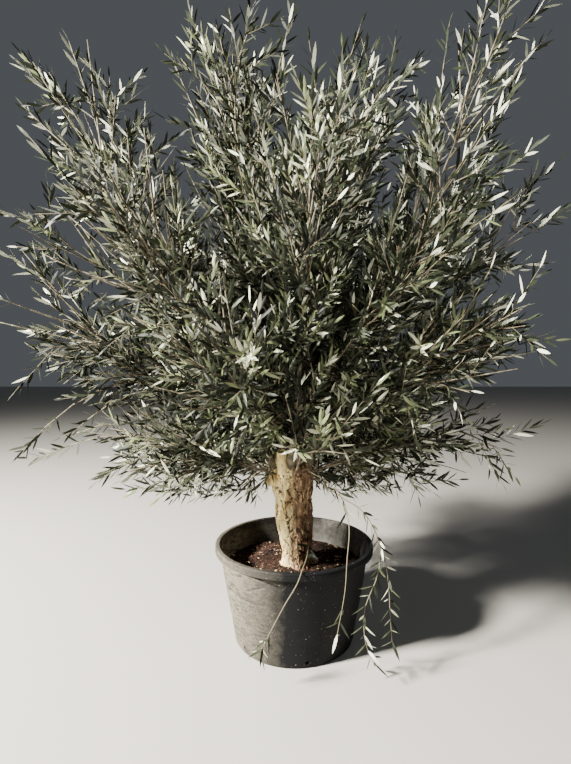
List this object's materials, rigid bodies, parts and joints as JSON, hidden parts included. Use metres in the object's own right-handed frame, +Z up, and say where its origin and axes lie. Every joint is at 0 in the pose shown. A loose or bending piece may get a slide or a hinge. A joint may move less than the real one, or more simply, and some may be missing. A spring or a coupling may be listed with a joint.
{
  "type": "potted olive tree",
  "caption": "Pollarded olive tree with a short swollen trunk and a wide crown of long leafy shoots, in a round black nursery pot filled with soil.",
  "frame": {"origin": "centre of the pot's flat underside, on the ground", "axes": "+Z up along the pot's axis; the front of the tree, with the hanging shoots, looks along -Y; +X to the right as seen from the front"},
  "size_m": [2.9448, 2.1703, 3.3546],
  "materials": {
    "pot": "dull black polyethylene, dusty and scuffed",
    "soil": "rough reddish brown potting soil",
    "bark": "flaky tan and brown bark with fissures",
    "young_bark": "smooth grey-brown young bark",
    "foliage": "leathery grey-green leaves, silvery below",
    "hanging_shoots": "thin shoots with pale green leaves"
  },
  "bodies": {
    "root": {"pot": "pot", "soil": "soil", "trunk": "bark", "leader_bough_1": "young_bark", "leader_bough_2": "young_bark", "leader_bough_3": "young_bark", "leader_bough_4": "young_bark", "riser_bough_1": "young_bark", "riser_bough_2": "young_bark", "riser_bough_3": "young_bark", "riser_bough_4": "young_bark", "riser_bough_5": "young_bark", "riser_bough_6": "young_bark", "shoulder_bough_1": "young_bark", "shoulder_bough_2": "young_bark", "shoulder_bough_3": "young_bark", "shoulder_bough_4": "young_bark", "shoulder_bough_5": "young_bark", "shoulder_bough_6": "young_bark", "side_bough_1": "young_bark", "side_bough_2": "young_bark", "side_bough_3": "young_bark", "side_bough_4": "young_bark", "side_bough_5": "young_bark", "side_bough_6": "young_bark", "leader_foliage_1": "foliage", "leader_foliage_2": "foliage", "leader_foliage_3": "foliage", "leader_foliage_4": "foliage", "riser_foliage_1": "foliage", "riser_foliage_2": "foliage", "riser_foliage_3": "foliage", "riser_foliage_4": "foliage", "riser_foliage_5": "foliage", "riser_foliage_6": "foliage", "shoulder_foliage_1": "foliage", "shoulder_foliage_2": "foliage", "shoulder_foliage_3": "foliage", "shoulder_foliage_4": "foliage", "shoulder_foliage_5": "foliage", "shoulder_foliage_6": "foliage", "side_foliage_1": "foliage", "side_foliage_2": "foliage", "side_foliage_3": "foliage", "side_foliage_4": "foliage", "side_foliage_5": "foliage", "side_foliage_6": "foliage", "skirt_foliage_1": "foliage", "skirt_foliage_2": "foliage", "skirt_foliage_3": "foliage", "skirt_foliage_4": "foliage", "skirt_foliage_5": "foliage", "skirt_foliage_6": "foliage", "hanging_shoot_basal": "hanging_shoots", "hanging_shoot_thin": "hanging_shoots", "hanging_shoot_leafy": "hanging_shoots"}
  },
  "joints": []
}
